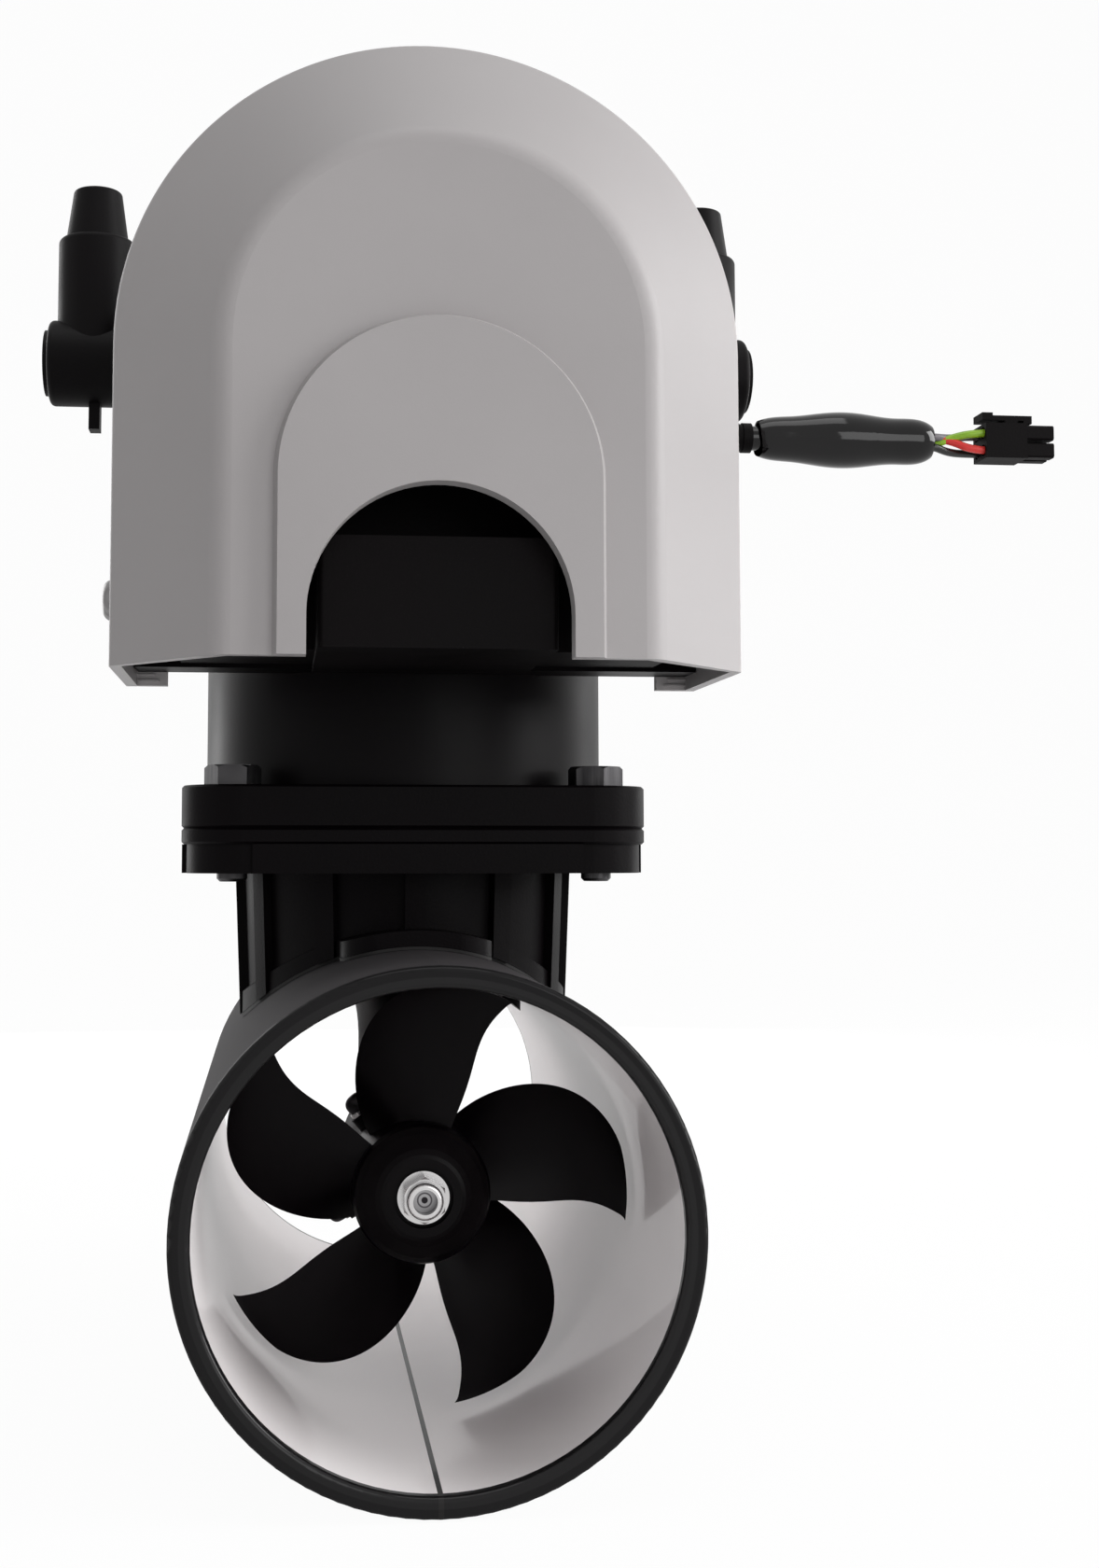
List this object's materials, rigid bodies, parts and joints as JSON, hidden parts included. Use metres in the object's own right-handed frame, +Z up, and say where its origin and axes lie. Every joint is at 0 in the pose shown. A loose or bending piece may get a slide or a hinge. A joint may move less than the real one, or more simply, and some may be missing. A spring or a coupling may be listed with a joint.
{
  "type": "bow thruster",
  "caption": "Electric tunnel thruster for a boat: upright motor on a saddle flange, bevel-geared bladed propeller in a round tunnel, controller cover, battery boots and signal lead.",
  "frame": {"origin": "centre of the tunnel, where the motor's axis meets the propeller's axis", "axes": "+Z up along the motor, -Y out of the tunnel past the propeller, +X to the signal lead"},
  "size_m": [0.2834, 0.258, 0.3455],
  "materials": {
    "composite_grey": "gloss",
    "painted_black": "satin",
    "prop_black": "satin",
    "cover_grey": "gloss",
    "case_black": "matte",
    "steel": "brushed",
    "dark_steel": "brushed",
    "gear_steel": "ground",
    "lamination": "matte",
    "copper": "gloss",
    "magnet": "gloss",
    "rubber_black": "matte",
    "spider_orange": "matte",
    "alloy": "cast",
    "board_green": "gloss",
    "capacitor_blue": "gloss",
    "cable_black": "gloss",
    "wire_mixed": "gloss",
    "plug_black": "matte",
    "contact_tin": "plain"
  },
  "bodies": {
    "thruster_body": {"tunnel_tube": "composite_grey", "tunnel_gasket": "rubber_black", "saddle_flange": "painted_black", "leg_bolts": "steel", "flange_bolts": "dark_steel", "gear_housing": "painted_black", "neck_seal": "rubber_black", "pod_cap": "painted_black", "pod_cap_seal": "rubber_black", "pod_cap_screws": "steel", "oil_plugs": "steel", "oil_washers": "steel", "drive_bearing_outer": "gear_steel", "prop_bearing_outer": "gear_steel", "motor_bearing_outer": "gear_steel", "drive_seal": "rubber_black", "prop_seal": "rubber_black", "motor_flange": "painted_black", "motor_can": "painted_black", "motor_cap": "painted_black", "motor_cap_screws": "dark_steel", "stator_core": "lamination", "stator_windings": "copper", "front_cover": "cover_grey", "cover_screws": "dark_steel", "controller_frame": "painted_black", "controller_case": "case_black", "circuit_board": "board_green", "board_posts": "alloy", "power_capacitors": "capacitor_blue", "terminal_blocks": "case_black", "terminal_studs": "steel", "stud_nuts": "steel", "battery_boot_left": "rubber_black", "battery_boot_right": "rubber_black", "signal_gland": "case_black", "signal_cable": "cable_black", "cable_sleeve": "cable_black", "signal_wires": "wire_mixed", "plug_housing": "plug_black", "plug_contacts": "contact_tin"},
    "drive_line": {"motor_shaft": "steel", "rotor_core": "lamination", "rotor_magnets": "magnet", "motor_coupling": "alloy", "coupling_spider": "spider_orange", "drive_coupling": "alloy", "drive_shaft": "steel", "drive_pinion": "gear_steel", "motor_bearing_inner": "gear_steel", "drive_bearing_inner": "gear_steel"},
    "propeller_assembly": {"prop_shaft": "steel", "crown_gear": "gear_steel", "propeller": "prop_black", "drive_pin": "steel", "prop_nut": "steel", "shaft_spacer": "steel", "prop_bearing_inner": "gear_steel"}
  },
  "joints": [
    {"name": "motor_spin", "type": "hinge", "parent": "thruster_body", "child": "drive_line", "pos_m": [0, 0, 0.1], "axis": [0, 0, 1], "continuous": true},
    {"name": "propeller_spin", "type": "hinge", "parent": "thruster_body", "child": "propeller_assembly", "pos_m": [0, -0.06, 0], "axis": [0, 1, 0], "continuous": true}
  ],
  "couplings": [
    {"joint": "propeller_spin", "follows": "motor_spin", "ratio": 0.66667}
  ]
}
